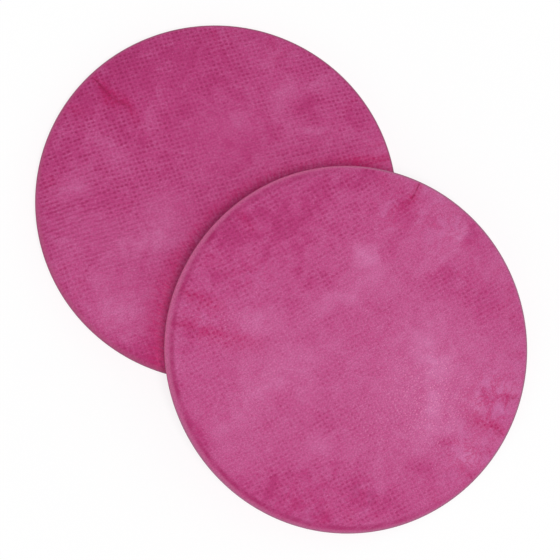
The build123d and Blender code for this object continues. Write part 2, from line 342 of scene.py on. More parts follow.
class CoverWeb(bpy.types.PropertyGroup):
    """Look of the magenta cover web."""

    deep: a_colour("Deep magenta", "where the fibres lie close", (0.473, 0.052, 0.198))
    pale: a_colour("Pale magenta", "where the fibres are loose", (0.592, 0.168, 0.366))
    dense: a_colour("Dense magenta", "where the web is densest", (0.419, 0.034, 0.158))
    bond: a_colour("Bond point", "of the fused bond points", (0.335, 0.014, 0.104))
    line: a_colour("Crease line", "of the sharp line of a crease", (0.270, 0.010, 0.070))
    fold: a_colour("Crease", "down in a crease", (0.455, 0.012, 0.116))
    # painted light in the painted shade beside the upper filter's rim: a lighter, redder crimson close
    # to the rim
    shaded_pleat: a_colour(
        "Pleats", "of the pleats close to the rim of the upper filter", (0.550, 0.028, 0.144)
    )
    lilac: a_colour("Lilac lobes", "of the loosest web, between its veins", (0.590, 0.190, 0.420))
    # painted highlight: the colour of the glint specks and of the paler grain round them
    painted_glint: a_colour("Glints", "of the bright specks beside the bond points", (0.860, 0.330, 0.540))
    fleck: a_colour("Fibre ends", "of the palest fibre ends", (0.720, 0.270, 0.470))
    band: a_colour("Weld", "of the lower filter's fused rim", (0.390, 0.072, 0.170))
    pale_band: a_colour("Pale weld", "of the upper filter's fused rim", (0.450, 0.105, 0.225))
    edge: a_colour("Edge", "beside the lower filter's cut edge", (0.355, 0.078, 0.172))
    pale_edge: a_colour("Pale edge", "beside the upper filter's cut edge", (0.370, 0.120, 0.220))
    # painted highlight on the upper filter's edge where it lies over the lower one
    painted_bright_edge: a_colour(
        "Bright edge", "beside that edge where it lies over the lower filter", (0.500, 0.095, 0.225)
    )
    end: a_colour("Cut fibres", "of the cut fibres at the very edge", (0.150, 0.055, 0.085))
    bond_pitch: a_length("Bond pitch", "Distance from one bond point to the next", 0.00142)
    row_pitch: a_length("Row pitch", "Distance from one row of bond points to the next", 0.00134)


class PortPlastic(bpy.types.PropertyGroup):
    """Colours of the moulded pieces and the inner webs."""

    collar: a_colour("Collar", "of the bayonet collars", (0.052, 0.053, 0.058))
    clamp: a_colour("Clamp ring", "of the clamp rings", (0.075, 0.076, 0.082))
    net: a_colour("Spacer net", "of the spacer nets", (0.72, 0.72, 0.69))
    media: a_colour("Media", "of the fine-fibre media", (0.80, 0.80, 0.77))
    scrim: a_colour("Scrim", "of the scrims", (0.74, 0.74, 0.71))


class Studio(bpy.types.PropertyGroup):
    """Floor, light and camera."""

    floor_colour: a_colour("Floor", "of the floor", (0.985, 0.985, 0.985))
    room_light: a_strength("Room light", "Light from all round", 0.44)
    key_light: a_strength("Key light", "Strength of the soft key lamp", 1.84)
    table_light: a_strength("Table light", "Strength of the soft lamp under the light table", 1.2)
    camera_height: FloatProperty(
        name="Camera elevation",
        description="How far the camera stands over the table's level",
        default=radians(79.73),
        subtype="ANGLE",
    )
    camera_distance: a_length("Camera distance", "From the camera to the middle of the view", 1.2)
    view_width: a_length("View width", "Width of the picture at that distance", 0.16627)


# ---- Shapes ----

def filter_place(side):
    """Where a filter's own frame lies. Its port points down its axis."""
    ports = {m["name"]: m for m in frame["record"]["mounts"]}
    over_port = COVER_LOW.z - ports["lower_port"]["pos_m"][2]
    port = ports[f"{side}_port"]
    up = -Vector(port["axis"])
    lean = Vector((0, 0, 1)).rotation_difference(up).to_matrix().to_4x4()
    middle = Vector(port["pos_m"]) + up * over_port
    return Matrix.Translation(middle) @ lean @ Matrix.Rotation(TURN[side], 4, "Z")


def blend(values, t):
    """The cubic Bezier through four values, at t from 0 to 1."""
    a, b, c, d = values
    return a * (1 - t) ** 3 + 3 * b * t * (1 - t) ** 2 + 3 * c * t**2 * (1 - t) + d * t**3


def crown_share(radius, start, weld, shoulder):
    """What is left of a face's crown: 1 over its level middle, up to start, and 0 at the weld."""
    turn_down = weld - shoulder
    pull_out, pull_up = SHOULDER_PULL
    reaches = start, start + pull_out * (turn_down - start), turn_down, weld
    low, high = np.zeros_like(radius), np.ones_like(radius)
    for _ in range(30):
        middle = (low + high) / 2
        short = blend(reaches, middle) < radius
        low = np.where(short, middle, low)
        high = np.where(short, high, middle)
    share = blend((1, 1, pull_up, 0), low)
    return np.where(radius <= start, 1.0, np.where(radius >= weld, 0.0, share))


def smooth(low, high, value):
    """0 up to low and 1 from high, with an easy run between them."""
    t = np.clip((value - low) / (high - low), 0, 1)
    return t * t * (3 - 2 * t)


def weld_radius(side, x, y, disc):
    """Inner radius of the weld, which isn't quite centred on the cut edge."""
    way = WELD_DRIFT_WAY[side] - TURN[side]
    return disc.radius - disc.weld_width + WELD_DRIFT * np.cos(np.arctan2(y, x) - way)


def along_across(way, x, y):
    """How far points lie along a way and across it."""
    c, s = cos(way), sin(way)
    return x * c + y * s, y * c - x * s


def turned_back(side, x, y):
    """A point of a filter as it lies, given in millimetres, in the filter's own frame."""
    x, y = along_across(TURN[side], x, y)
    return x * MM, y * MM


def stretches(side, lines):
    """The two ends of each straight stretch of some lines, in the filter's own frame."""
    for line in lines:
        ends = [(*turned_back(side, x, y), width * MM, amount) for x, y, width, amount in line]
        yield from zip(ends, ends[1:])


def crease_depth(side, x, y, spread):
    """Depth of the creases under the face, each widened by spread."""
    depth = np.zeros_like(x)
    for (ax, ay, aw, ad), (bx, by, bw, bd) in stretches(side, CREASES[side]):
        run = Vector((bx - ax, by - ay))
        t = np.clip(((x - ax) * run.x + (y - ay) * run.y) / run.length_squared, 0, 1)
        away = np.hypot(x - ax - t * run.x, y - ay - t * run.y)
        width = aw + t * (bw - aw) + 0.0004 + spread
        here = (ad + t * (bd - ad)) * MM * np.exp(-((away / width) ** 2))
        depth = np.maximum(depth, here)
    return depth


def face_seed(side, face):
    """Where the random draws of a face start."""
    return 10 * SIDES.index(side) + (face == "rear")


def gathers(side, face, x, y, weld, spread=0.0):
    """Small gathers that run in from the weld, where the web is drawn down."""
    draw = np.random.default_rng(face_seed(side, face) + GATHER_SEED)
    radius, angle = np.hypot(x, y), np.arctan2(y, x)
    depth = np.zeros_like(x)
    for _ in range(GATHERS):
        way, lean = draw.uniform(-pi, pi), draw.uniform(-0.5, 0.5)
        length, width = draw.uniform(*GATHER_LENGTHS), draw.uniform(*GATHER_WIDTHS)
        deep = draw.uniform(*GATHER_DEPTHS)
        inside = weld - radius
        off = (angle - way - lean * inside / weld + pi) % (2 * pi) - pi
        ridge = np.exp(-((off * radius / (width * (0.6 + inside / length) + spread)) ** 2))
        depth += deep * ridge * smooth(length, 0.001, inside) * smooth(0, 0.0015, inside)
    return depth


def waves(side, face, x, y):
    """Broad low waves over a face."""
    draw = np.random.default_rng(face_seed(side, face))
    total = np.zeros_like(x)
    for _ in range(WAVES):
        way, length = draw.uniform(0, 2 * pi), draw.uniform(*WAVE_LENGTHS)
        turn = along_across(way, x, y)[0] * 2 * pi / length
        total += WAVE_HEIGHT * np.sin(turn + draw.uniform(0, 2 * pi))
    return total


def crumples(side, x, y):
    """Low ridges, close together, where an upper web is crumpled."""
    draw = np.random.default_rng(CRUMPLE_SEED + SIDES.index(side))
    moved = wandered(CRUMPLE_WANDER_SEED + SIDES.index(side), x, y, CRUMPLE_WANDER)
    total = np.zeros_like(x)
    for length in CRUMPLE_LENGTHS:
        way, start = draw.uniform(0, pi), draw.uniform(0, 2 * pi)
        turn = along_across(way, *moved)[0] * pi / length
        total += length / CRUMPLE_LENGTHS[0] * (1 - abs(np.sin(turn + start))) ** 2
    return CRUMPLE_HEIGHT * total * spots(side, x, y, CRUMPLED)


def face_relief(side, face, x, y, weld, disc, spread=0.0):
    """How far out of its plain curve a cover's face stands."""
    inside = weld - np.hypot(x, y)
    relief = waves(side, face, x, y) * smooth(0, 0.008, inside) - DRAWN_DOWN
    relief -= gathers(side, face, x, y, weld, spread)
    if face == "front":
        if side == "upper":
            relief -= crumples(side, x, y) * smooth(0, 0.004, inside)
        relief -= crease_depth(side, x, y, spread) * smooth(0, 0.0012, inside)
    else:
        relief *= smooth(disc.rear_level, disc.rear_level + 0.006, np.hypot(x, y))
    relief *= smooth(-0.0002, 0.0010, inside)
    return np.minimum(relief, HIGHEST_RELIEF)


def square_disc(radii):
    """A disc's points and faces on a square grid, whose rings of squares become circles."""
    count = len(radii) - 1
    steps = np.arange(-count, count + 1)
    i, j = np.meshgrid(steps, steps, indexing="ij")
    ring = np.maximum(abs(i), abs(j))
    with np.errstate(divide="ignore", invalid="ignore"):
        side_on = np.where(i < 0, pi, 0) + pi / 4 * j / i
        end_on = np.where(j < 0, 1.5, 0.5) * pi - pi / 4 * i / j
    angle = np.where(abs(i) >= abs(j), side_on, end_on)
    angle[count, count] = 0
    radius = np.asarray(radii)[ring]
    x, y = (radius * np.cos(angle)).ravel(), (radius * np.sin(angle)).ravel()
    at = np.arange(i.size).reshape(i.shape)
    quads = np.stack([at[:-1, :-1], at[1:, :-1], at[1:, 1:], at[:-1, 1:]], -1).reshape(-1, 4)
    edge = np.flatnonzero(ring.ravel() == count)
    edge = edge[np.argsort((angle.ravel()[edge]) % (2 * pi))]
    return x, y, quads, [edge]


def ring_disc(radii, around):
    """A ring's points and faces, in rows from its hole to its edge."""
    angle = np.arange(around) * 2 * pi / around
    x = np.outer(radii, np.cos(angle)).ravel()
    y = np.outer(radii, np.sin(angle)).ravel()
    at = np.arange(len(x)).reshape(len(radii), around)
    on = np.roll(at, -1, axis=1)
    quads = np.stack([at[:-1], at[1:], on[1:], on[:-1]], -1).reshape(-1, 4)
    return x, y, quads, [at[-1], at[0][::-1]]


def face_shape(side, face, radii, around, disc, spread=0.0):
    """A face's grid, its weld's radius, what is left of its crown and its relief, at each point."""
    front = face == "front"
    grid = square_disc(radii) if front else ring_disc(radii, around)
    x, y = grid[:2]
    weld = weld_radius(side, x, y, disc)
    start = 0.0 if front else disc.rear_level
    share = crown_share(np.hypot(x, y), start, weld, disc.shoulder_width)
    return grid, weld, share, face_relief(side, face, x, y, weld, disc, spread)


def wandered(seed, x, y, reach):
    """Points moved about by a smooth wander of up to reach."""
    draw = np.random.default_rng(seed)
    moves = []
    for _ in range(2):
        total = np.zeros_like(x)
        for length in WANDER_LENGTHS:
            way, start = draw.uniform(0, 2 * pi, 2)
            bend, offset = draw.uniform(0.5, 1.5), draw.uniform(0, 2 * pi)
            along, across = (v * 2 * pi / length for v in along_across(way, x, y))
            wander = np.sin(along + start + bend * np.sin(across + offset))
            total += length / WANDER_LENGTHS[0] * wander
        moves.append(reach * total / 2)
    return x + moves[0], y + moves[1]


def looseness_and_shade(side, x, y):
    """How loose the fibres lie in a front cover's patches, two of which are painted shade."""
    total = np.full_like(x, LOOSE[side])
    x, y = wandered(PATCH_SEED + SIDES.index(side), x, y, PATCH_WANDER)
    for across, up, long, wide, way, amount in PATCHES[side]:
        px, py = turned_back(side, across, up)
        along, aside = along_across(radians(way) - TURN[side], x - px, y - py)
        away = (along / (long * MM)) ** 2 + (aside / (wide * MM)) ** 2
        total += amount * np.exp(-away / 1.6)
    return total


def spots(side, x, y, places):
    """A value from 0 to 1 over some round spots of a face."""
    total = np.zeros_like(x)
    for across, up, reach, amount in places:
        px, py = turned_back(side, across, up)
        away = np.hypot(x - px, y - py) / (reach * MM)
        total = np.maximum(total, amount * np.exp(-(away**2)))
    return total


def beside_upper(side, x, y, z):
    """How far points lie outside the upper filter's rim, and how far round it."""
    there = np.array(filter_place("upper").inverted() @ filter_place(side))
    over_x, over_y = (there @ np.stack([x, y, z, np.ones_like(x)]))[:2]
    return np.hypot(over_x, over_y) - COVER_HIGH.x, np.arctan2(over_y, over_x) * COVER_HIGH.x


def out_of_round(side, x, y):
    """How far points near the cut edge are moved out, level with the table, in x and in y."""
    all_round, long, long_way, off, off_way, short, short_way = OUT_OF_ROUND[side]
    radius, angle = np.hypot(x, y), np.arctan2(y, x) + TURN[side]
    out = all_round + long * np.cos(2 * (angle - long_way)) + off * np.cos(angle - off_way)
    aside = (angle - short_way + pi) % (2 * pi) - pi
    out = out + short * np.exp(-((aside / STRETCH_REACH) ** 2))
    out = out * MM * smooth(0.040, 0.054, radius)
    return out * np.cos(angle), out * np.sin(angle)


def placed(name, data):
    """A new object in the scene."""
    made = bpy.data.objects.new(name, data)
    bpy.context.scene.collection.objects.link(made)
    return made


def web_piece(side, face, name, grid, outer, inner, material, **marks):
    """A closed web between two surfaces over one grid, put where its filter lies."""
    x, y, quads, edges = grid
    count = len(x)
    tops, bottoms = (outer, inner) if face == "front" else (-inner, -outer)
    points = np.concatenate([np.stack([x, y, tops], 1), np.stack([x, y, bottoms], 1)])
    faces = [quads, quads[:, ::-1] + count]
    for edge in edges:
        on = np.roll(edge, -1)
        faces.append(np.stack([edge + count, on + count, on, edge], 1))
    place = filter_place(side)
    there = points @ np.array(place.to_3x3()).T + np.array(place.to_translation())
    there[:, 0:2] += np.stack(out_of_round(side, points[:, 0], points[:, 1]), 1)
    mesh = bpy.data.meshes.new(name)
    mesh.from_pydata(there.tolist(), [], np.concatenate(faces).tolist())
    own_place = mesh.attributes.new("web_place", "FLOAT_VECTOR", "POINT")
    own_place.data.foreach_set("vector", points.astype(np.float32).ravel())
    for key, values in marks.items():
        mark = mesh.attributes.new(key, "FLOAT", "POINT")
        mark.data.foreach_set("value", np.tile(values, 2).astype(np.float32))
    mesh.shade_smooth()
    mesh.set_sharp_from_angle(angle=radians(35))
    mesh.materials.append(material)
    return placed(name, mesh)


def cover_radii(start, disc, count):
    """Ring radii that come closer together over the shoulder and the weld."""
    last = disc.radius - EDGE_STEP
    t = np.linspace(0, 1, count - 1)
    radii = start + (last - start) * (1 - (1 - t) ** 1.45)
    return np.append(0.55 * radii + 0.45 * np.linspace(start, last, count - 1), disc.radius)


def edge_round(x, y, disc):
    """How much the cut edge is rounded off."""
    over = np.clip((np.hypot(x, y) - disc.radius + EDGE_REACH) / EDGE_REACH, 0, 1)
    return EDGE_DROP * over**2


def lay(piece, side, node):
    """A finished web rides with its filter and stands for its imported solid."""
    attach(piece, f"{side}_filter")
    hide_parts(node)


# ---- Finishes ----

class Nodes:
    """A node tree in the making, whose nodes are added and joined in one call each."""

    def __init__(self, owner):
        owner.use_nodes = True
        self.tree = owner.node_tree

    def feed(self, socket, value):
        """Joins a socket to another, or sets its value."""
        if isinstance(value, bpy.types.NodeSocket):
            self.tree.links.new(value, socket)
        else:
            socket.default_value = value

    def add(self, kind, feeds=(), output=0, **settings):
        """One node, with its settings and what feeds it, and the socket it gives."""
        made = self.tree.nodes.new(f"ShaderNode{kind}")
        for key, value in settings.items():
            setattr(made, key, value)
        for key, value in dict(feeds).items():
            self.feed(made.inputs[key], value)
        return made.outputs[output]

    def sum(self, operation, *values, clamp=False):
        """One step of arithmetic."""
        feeds = dict(enumerate(values))
        return self.add("Math", feeds, operation=operation, use_clamp=clamp)

    def times(self, first, *others):
        """Some values multiplied."""
        for other in others:
            first = self.sum("MULTIPLY", first, other)
        return first

    def scaled(self, value, by, more):
        """A value multiplied, and then added to."""
        return self.sum("MULTIPLY_ADD", value, by, more)

    def most(self, first, *others):
        """The largest of some values."""
        for other in others:
            first = self.sum("MAXIMUM", first, other)
        return first

    def off(self, value, middle):
        """How far a value is from a middle one."""
        return self.sum("ABSOLUTE", self.sum("SUBTRACT", value, middle))

    def seen(self):
        """1 to a camera, glossy or transmission ray, and 0 to the rest."""
        rays = ("Is Camera Ray", "Is Glossy Ray", "Is Transmission Ray")
        return self.most(*(self.add("LightPath", output=ray) for ray in rays))


class Finish(Nodes):
    """A material in the making."""

    def __init__(self, name):
        self.material = bpy.data.materials.new(name)
        super().__init__(self.material)
        self.shader = self.tree.nodes["Principled BSDF"]

    def mark(self, name, output="Fac"):
        """What a web's points are marked with."""
        return self.add("Attribute", output=output, attribute_name=name)

    def vector(self, operation, *values):
        """One step of arithmetic on vectors, of which some give a plain number."""
        number = operation in ("DISTANCE", "DOT_PRODUCT", "LENGTH")
        return self.add("VectorMath", dict(enumerate(values)), int(number), operation=operation)

    def ramp(self, value, low, high, bottom=0.0, top=1.0):
        """A value run smoothly from bottom at low to top at high."""
        feeds = {0: value, 1: low, 2: high, 3: bottom, 4: top}
        return self.add("MapRange", feeds, interpolation_type="SMOOTHSTEP")

    def mix(self, factor, a, b):
        """Two colours mixed."""
        a, b = (v if isinstance(v, bpy.types.NodeSocket) else (*v, 1.0) for v in (a, b))
        return self.add("Mix", {0: factor, 6: a, 7: b}, 2, data_type="RGBA")

    def tinted(self, colour, other, amount, share):
        """A colour with another over it, by a share of some amount."""
        return self.mix(self.times(amount, share), colour, other)

    def noise(self, at, size, detail, roughness=0.5, distortion=0.0, output=0):
        """Noise with features about as large as size."""
        feeds = {
            "Vector": at,
            "Scale": 1 / size,
            "Detail": detail,
            "Roughness": roughness,
            "Distortion": distortion,
        }
        return self.add("TexNoise", feeds, output)

    def patchy(self, at, size, detail, *levels):
        """Noise run smoothly between two levels, or two levels and the two values there."""
        return self.ramp(self.noise(at, size, detail), *levels)

    def laid(self, at, turns, along, across):
        """Noise drawn out along one or more ways, as laid fibres are."""
        ways = []
        for turn in turns:
            feeds = {
                "Vector": at,
                "Rotation": (0, 0, radians(turn)),
                "Scale": (1 / along, 1 / across, 1 / across),
            }
            way = self.add("Mapping", feeds, vector_type="POINT")
            ways.append(self.add("TexNoise", {"Vector": way, "Scale": 1.0, "Detail": 2.0}))
        return self.most(*ways)

    def set(self, **values):
        """Sets the shader's own sockets."""
        for key, value in values.items():
            self.feed(self.shader.inputs[key.replace("_", " ").title()], value)

    def shine(self, level):
        """Sets how much the surface shines."""
        self.shader.inputs["Specular IOR Level"].default_value = level

    def bump(self, height, distance):
        """Fine relief, of which a height of 1 is distance high."""
        feeds = {"Height": height, "Distance": distance, "Strength": 1.0}
        self.feed(self.shader.inputs["Normal"], self.add("Bump", feeds))


def hairline(finish, at, start, end):
    """How much of one sharp line shows at a point, from 0 to 1."""
    ax, ay, aw, ad = start
    bx, by, bw, bd = end
    run = Vector((bx - ax, by - ay, 0))
    off = finish.vector("SUBTRACT", at, (ax, ay, 0))
    along = finish.vector("DOT_PRODUCT", off, tuple(run / run.length_squared))
    along = finish.sum("ADD", along, 0.0, clamp=True)
    foot = finish.add("VectorMath", {0: tuple(run), "Scale": along}, operation="SCALE")
    away = finish.vector("DISTANCE", off, foot)
    width = finish.scaled(along, bw - aw, aw)
    near = finish.sum("SUBTRACT", 1.0, finish.sum("DIVIDE", away, width), clamp=True)
    return finish.times(finish.ramp(near, 0.0, 1.0), finish.scaled(along, bd - ad, ad))


def bond_rows(finish, flat, seeded, web):
    """Where a point lies in its bond point's cell, and the chance of that cell."""
    drift = finish.noise(seeded, 0.016, 1.0, output="Color")
    drift = finish.vector("MULTIPLY_ADD", drift, (0.0012, 0.0012, 0), (-0.0006, -0.0006, 0))
    drifted = finish.vector("ADD", flat, drift)
    counts = []
    for skew, pitch in ((ROW_SKEW[0], web.bond_pitch), (ROW_SKEW[1] + 90, web.row_pitch)):
        way = radians(skew)
        across = (cos(way) / pitch, sin(way) / pitch, 0)
        counts.append(finish.vector("DOT_PRODUCT", drifted, across))
    rows = finish.add("CombineXYZ", dict(enumerate(counts)))
    cell = finish.vector("FLOOR", rows)
    chance, jog = (
        finish.add("TexWhiteNoise", {"Vector": cell}, output, noise_dimensions="2D")
        for output in (0, 1)
    )
    jog = finish.vector("MULTIPLY_ADD", jog, (0.22, 0.22, 0), (-0.61, -0.61, 0))
    inside = finish.vector("ADD", finish.vector("FRACTION", rows), jog)
    ribs = finish.ramp(finish.mark("web_ribs"), 0.0, 1.0, 0.95, 0.50)
    shape = finish.add("CombineXYZ", {0: ribs, 1: 1.10})
    return finish.vector("MULTIPLY", inside, shape), chance


def crumpled(finish, colour, seeded, inside, chance, web):
    """A cover's colour with its veins drawn close, pale lobes between them and painted highlights."""
    crumple = finish.mark("web_crumple")
    vein = finish.noise(seeded, 0.0050, 3.0, 0.62, 0.5)
    lobe = finish.times(finish.ramp(vein, 0.48, 0.72), crumple)
    vein = finish.times(finish.ramp(finish.off(vein, 0.47), 0.040, 0.0), crumple)
    colour = finish.tinted(colour, web.lilac, lobe, 0.66)
    colour = finish.tinted(colour, web.fold, vein, 0.55)

    # painted highlights, where the web catches the light: specks on the flanks of the points and a
    # paler fine grain round them
    painted_glint = finish.mark("web_painted_glint")
    flank = finish.vector("ADD", inside, (0.24, -0.18, 0))
    speck = finish.ramp(finish.vector("LENGTH", flank), 0.20, 0.05)
    speck = finish.times(speck, finish.times(painted_glint, finish.ramp(chance, 0.20, 0.50)))
    colour = finish.tinted(colour, web.painted_glint, speck, 0.60)
    bright = finish.patchy(seeded, FINE_GRAIN, 0.0, 0.60, 0.72)
    return finish.tinted(colour, web.painted_glint, bright, finish.times(painted_glint, 0.30))


def pleated_and_shaded(finish, colour, height, web):
    """The lower web's colour and height, pleated and given painted shade where it carries the rim of
    the upper filter, with a lighter, redder painted light close to that rim.
    """
    outside, along = finish.mark("rim_outside"), finish.mark("rim_round")
    run = finish.add("CombineXYZ", {
        0: finish.sum("DIVIDE", finish.scaled(outside, 0.25, along), 0.00075),
        1: finish.sum("DIVIDE", outside, 0.0042),
    })
    shaded_pleat = finish.add("TexNoise", {"Vector": run, "Scale": 1.0, "Detail": 2.0})
    # painted shade: the pleats' crimson fades out from the upper filter's rim, reaching further on the
    # long stretch
    reach = finish.ramp(along, *LONG_PLEAT_SHADE, 0.0034, 0.0068)
    shaded_pleat = finish.times(
        finish.ramp(shaded_pleat, 0.40, 0.62, 0.35, 1.0), finish.ramp(outside, reach, 0.0, 0.0, 0.64),
        finish.ramp(outside, -0.004, -0.001),
    )
    # painted red light: a lighter, redder crimson within 1.6 mm of the rim on the long stretch
    painted_red_light = finish.times(finish.ramp(outside, 0.0016, 0.0), finish.ramp(along, *LONG_PLEAT_SHADE))
    colour = finish.mix(shaded_pleat, colour, finish.mix(painted_red_light, web.fold, web.shaded_pleat))
    return colour, finish.scaled(shaded_pleat, -0.6, height)


def welded(finish, colour, flat, seeded, side, web, disc):
    """A cover's colour with its fused band, painted shade inside it and the dull cut edge, which on
    the upper filter has a painted highlight where it lies over the lower one.
    """
    way = WELD_DRIFT_WAY[side] - TURN[side]
    centre = (WELD_DRIFT * cos(way), WELD_DRIFT * sin(way), 0)
    weld = disc.radius - disc.weld_width
    out = finish.vector("DISTANCE", flat, centre)
    radius = finish.vector("LENGTH", flat)
    wide = finish.ramp(finish.sum("SUBTRACT", out, radius), -0.0004, 0.0002)
    # painted shade at the foot of the shoulder, inside the weld, where the weld is wide
    shoulder_shade = finish.times(finish.ramp(finish.off(out, weld - 0.0003), 0.0013, 0.0002), wide)
    uneven = finish.patchy(seeded, 0.0045, 3.0, 0.32, 0.66, 0.55, 1.15)
    colour = finish.tinted(colour, web.bond, shoulder_shade, finish.times(uneven, SHOULDER_SHADE[side]))
    band = finish.ramp(out, weld - 0.0002, weld + 0.0006)
    upper = side == "upper"
    band_colour = web.pale_band if upper else web.band
    colour = finish.tinted(colour, band_colour, band, finish.times(uneven, 0.60))
    cut = finish.ramp(radius, disc.radius - 0.00070, disc.radius - 0.00025)
    end = finish.ramp(radius, disc.radius - 0.00020, disc.radius)
    end = finish.times(end, finish.scaled(wide, -0.45, CUT_EDGE[side]))
    edge = web.edge
    # painted highlight: the upper filter's edge is brighter over the lower one, without dark cut fibres
    if upper:
        way = PAINTED_HIGHLIGHT_WAY - TURN[side]
        over = finish.vector("DOT_PRODUCT", flat, (cos(way), sin(way), 0))
        over = finish.ramp(over, 0.020, 0.045)
        edge = finish.mix(over, web.pale_edge, web.painted_bright_edge)
        end = finish.times(end, finish.sum("SUBTRACT", 1.0, over))
    colour = finish.tinted(colour, edge, cut, 0.85)
    return finish.mix(end, colour, web.end)


def cover_finish(name, side, web, disc, creased):
    """The magenta point-bonded web: bond points in rows, hazy patches, fibres, weld and creases."""
    finish = Finish(name)
    flat = finish.vector("MULTIPLY", finish.mark("web_place", "Vector"), (1, 1, 0))
    seeded = finish.vector("ADD", flat, (0.31 * (SIDES.index(side) + 1), 0.17, 0.05 * creased))

    # rows of bond points, a little out of true, each longer along its row where they are ribbed
    inside, chance = bond_rows(finish, flat, seeded, web)
    away = finish.vector("LENGTH", inside)
    size = finish.ramp(chance, 0.0, 1.0, *POINT_SIZES[side])
    ridge = finish.ramp(away, 0.44, 0.66)

    # loose and close patches, with streaks between them; two close patches are painted shade
    loose_and_shade = finish.mark("web_loose_and_shade")
    broken = finish.patchy(seeded, 0.0030, 3.0, 0.32, 0.68, -0.35, 0.35)
    loose_and_shade = finish.scaled(finish.sum("SUBTRACT", loose_and_shade, LOOSE[side]), broken, loose_and_shade)
    cloud = finish.noise(seeded, 0.017, 2.0, 0.55, 0.3)
    streak = finish.noise(seeded, 0.0062, 3.0, 0.62, 1.6)
    loose_and_shade = finish.sum("ADD", loose_and_shade, finish.ramp(cloud, 0.30, 0.70, -0.07, 0.07))
    loose_and_shade = finish.sum("ADD", loose_and_shade, finish.ramp(streak, 0.30, 0.72, -0.10, 0.13))
    close_and_shade = finish.ramp(loose_and_shade, 0.14, -0.36)
    full_point = finish.ramp(away, finish.scaled(close_and_shade, 0.05, size), 0.12)
    strength = finish.times(
        finish.ramp(loose_and_shade, 0.62, -0.10), finish.ramp(chance, 0.0, 0.8, 0.35, 1.0),
        POINT_STRENGTH[side], finish.mark("web_points"),
    )
    point = finish.times(full_point, strength)

    # fibres laid three ways, fine grain and a few pale ends
    fibres = finish.ramp(finish.laid(seeded, COVER_FIBRES, 0.0032, 0.00032), 0.50, 0.78)
    grain = finish.patchy(seeded, 0.00055, 2.0, 0.3, 0.7, -0.13, 0.13)
    fleck = finish.patchy(seeded, FINE_GRAIN, 1.0, 0.64, 0.74)
    tone = finish.scaled(fibres, 0.20, finish.times(loose_and_shade, 0.80))
    tone = finish.scaled(ridge, finish.times(strength, 0.14), tone)
    tone = finish.sum("ADD", tone, grain, clamp=True)
    colour = finish.tinted(web.deep, web.dense, close_and_shade, 0.80)
    colour = finish.mix(tone, colour, web.pale)
    colour = finish.tinted(colour, web.fleck, fleck, 0.30)
    colour = finish.tinted(colour, web.bond, point, 0.94)
    if creased:
        colour = crumpled(finish, colour, seeded, inside, chance, web)

    # folds and creases
    height = finish.scaled(point, -1.0, finish.times(fibres, 0.35))
    ragged = finish.patchy(seeded, 0.0013, 3.0, 0.34, 0.62, 0.30, 1.0)
    ragged = finish.scaled(full_point, 0.45, ragged)
    fold = finish.sum("MULTIPLY", finish.mark("web_fold"), ragged, clamp=True)
    colour = finish.tinted(colour, web.fold, fold, 0.86)
    colour = finish.tinted(colour, web.line, finish.times(full_point, fold), 0.30)
    if creased:
        ends = stretches(side, HAIRLINES[side])
        line = finish.most(*(hairline(finish, flat, start, end) for start, end in ends))
        line = finish.times(line, finish.patchy(seeded, 0.0008, 2.0, 0.34, 0.60, 0.45, 1.0))
        colour = finish.mix(line, colour, web.line)
        height = finish.scaled(line, -0.7, height)
    # pleats with painted shade beside the upper filter's rim
    if creased and side == "lower":
        colour, height = pleated_and_shaded(finish, colour, height, web)
    colour = welded(finish, colour, flat, seeded, side, web, disc)
    speckle = finish.patchy(seeded, 0.00036, 1.0, 0.25, 0.75, 0.855, 1.145)
    colour = finish.add("VectorMath", {0: colour, "Scale": speckle}, operation="SCALE")

    rough = finish.ramp(point, 0.0, 1.0, 0.86, 0.58)
    finish.set(base_color=colour, roughness=rough, sheen_weight=0.06, sheen_roughness=0.45)
    finish.set(sheen_tint=(1.0, 0.72, 0.86, 1.0))
    finish.shine(0.18)
    finish.bump(height, 0.00009)
    return finish.material


def ply_finish(name, base, fleck, size):
    """White inner webs: tangled fine fibres, or a smooth thin scrim."""
    finish = Finish(name)
    place = finish.mark("web_place", "Vector")
    cloud = finish.patchy(place, size * 14, 3.0, 0.3, 0.7)
    fibres = finish.ramp(finish.laid(place, PLY_FIBRES, size * 10, size), 0.45, 0.8)
    tone = finish.scaled(fibres, 0.5, finish.times(cloud, 0.5))
    colour = finish.mix(tone, [c * fleck for c in base], base)
    finish.set(base_color=colour, roughness=0.92, sheen_weight=0.15)
    finish.bump(fibres, 0.00006)
    return finish.material


def moulded_finish(name, base, roughness, grain):
    """Moulded plastic with a fine spark-eroded grain, faint flow marks and light handling wear."""
    finish = Finish(name)
    place = finish.add("TexCoord", output="Object")
    flow = finish.noise(place, 0.012, 3.0, distortion=1.2)
    scuff = finish.ramp(finish.laid(place, (37,), 0.006, 0.0004), 0.62, 0.74)
    dark, pale = [0.86 * c for c in base], [min(1.0, 1.25 * c + 0.010) for c in base]
    colour = finish.mix(finish.ramp(flow, 0.35, 0.65), dark, base)
    colour = finish.tinted(colour, pale, scuff, 0.45)
    rough = finish.ramp(flow, 0.3, 0.7, roughness - 0.06, roughness + 0.07)
    finish.set(base_color=colour, roughness=finish.scaled(scuff, 0.12, rough))
    finish.bump(finish.noise(place, grain, 3.0), grain * 0.06)
    return finish.material


# ---- Operators ----

